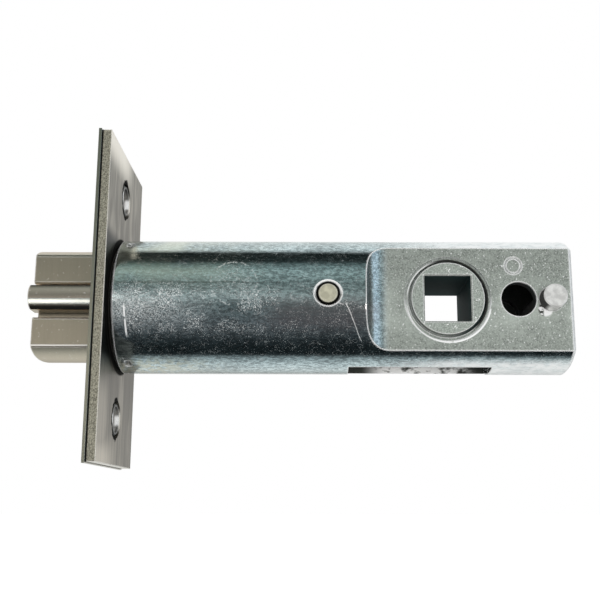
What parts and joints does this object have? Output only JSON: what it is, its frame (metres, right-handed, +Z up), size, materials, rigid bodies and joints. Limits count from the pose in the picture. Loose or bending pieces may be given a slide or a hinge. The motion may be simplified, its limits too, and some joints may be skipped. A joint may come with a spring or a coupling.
{
  "type": "tubular deadlatch",
  "caption": "Tubular deadlatch for a door edge: faceplate, round case with flat rear sides, bevelled spring bolt with a deadlock plunger, and a hub with a square spindle hole.",
  "frame": {"origin": "centre of the faceplate's outer face, on the axis of the case and midway between the two screw holes", "axes": "+X along the case into the door, +Z up along the faceplate, -Y towards the side with the deadlock plunger"},
  "size_m": [0.0942, 0.0286, 0.0568],
  "materials": {
    "faceplate": "satin",
    "forend": "brushed",
    "case": "zinc plated",
    "pins": "satin",
    "inner_castings": "as cast",
    "springs": "drawn wire",
    "bolt": "satin nickel",
    "inner_steel": "zinc plated",
    "plunger": "satin nickel",
    "hub": "zinc plated casting"
  },
  "bodies": {
    "case": {"outer_faceplate": "faceplate", "inner_forend": "forend", "near_case_half": "case", "far_case_half": "case", "cross_pin": "pins", "end_pin": "pins", "spring_abutment": "inner_castings", "bolt_spring": "springs"},
    "bolt": {"latch_bolt": "bolt", "retractor_fork": "inner_steel", "fork_rivets": "inner_steel", "plunger_spring": "springs"},
    "plunger": {"deadlock_plunger": "plunger"},
    "hub": {"hub": "hub"},
    "pawl": {"deadlock_pawl": "inner_steel", "pawl_spring": "springs"}
  },
  "joints": [
    {"name": "hub_turn", "type": "hinge", "parent": "case", "child": "hub", "pos_m": [0.06, 0, 0], "axis": [0, 1, 0], "range_deg": [0, 80]},
    {"name": "bolt_slide", "type": "slide", "parent": "case", "child": "bolt", "axis": [1, 0, 0], "range_m": [0, 0.012], "stiffness_N_per_m": 450, "springref_m": -0.008, "deforming": ["bolt_spring"]},
    {"name": "plunger_slide", "type": "slide", "parent": "bolt", "child": "plunger", "axis": [1, 0, 0], "range_m": [0, 0.01], "stiffness_N_per_m": 120, "springref_m": -0.006, "deforming": ["plunger_spring"]},
    {"name": "pawl_tilt", "type": "hinge", "parent": "case", "child": "pawl", "pos_m": [0.0393, 0, 0], "axis": [0, -1, 0], "range_deg": [0, 2]}
  ],
  "couplings": [
    {"joint": "hub_turn", "follows": "bolt_slide", "rad_per_m": 116.36},
    {"joint": "pawl_tilt", "follows": "bolt_slide", "rad_per_m": 2.9089}
  ]
}
